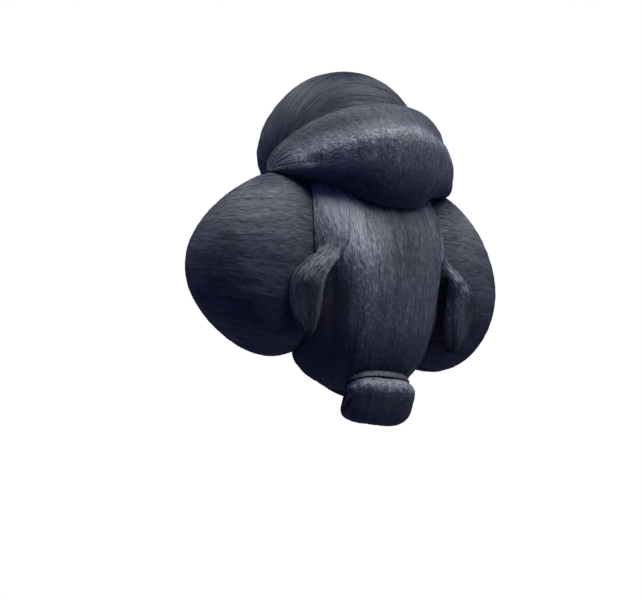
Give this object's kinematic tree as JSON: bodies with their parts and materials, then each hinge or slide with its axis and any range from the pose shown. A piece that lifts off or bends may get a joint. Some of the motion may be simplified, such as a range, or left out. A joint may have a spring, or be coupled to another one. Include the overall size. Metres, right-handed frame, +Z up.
{
  "type": "geisha wig",
  "caption": "Black upswept wig with round side wings, a smooth back panel with hanging locks, a folded top bun and a small nape roll over a hollow cap.",
  "frame": {"origin": "the highest point of the hollow inside the cap, where the wig sits on the crown of the head", "axes": "+X to the wearer's left, +Y to the back of the head, +Z up"},
  "size_m": [0.334, 0.2426, 0.347],
  "materials": {
    "hair": "combed straight hair with a soft sheen along the strands",
    "net": "matte woven cap"
  },
  "bodies": {
    "root": {"cap": "net", "front_hair": "hair", "left_wing": "hair", "right_wing": "hair", "back_panel": "hair", "left_lock": "hair", "right_lock": "hair", "bun_dome": "hair", "bun_roll": "hair", "nape_roll": "hair"}
  },
  "joints": []
}
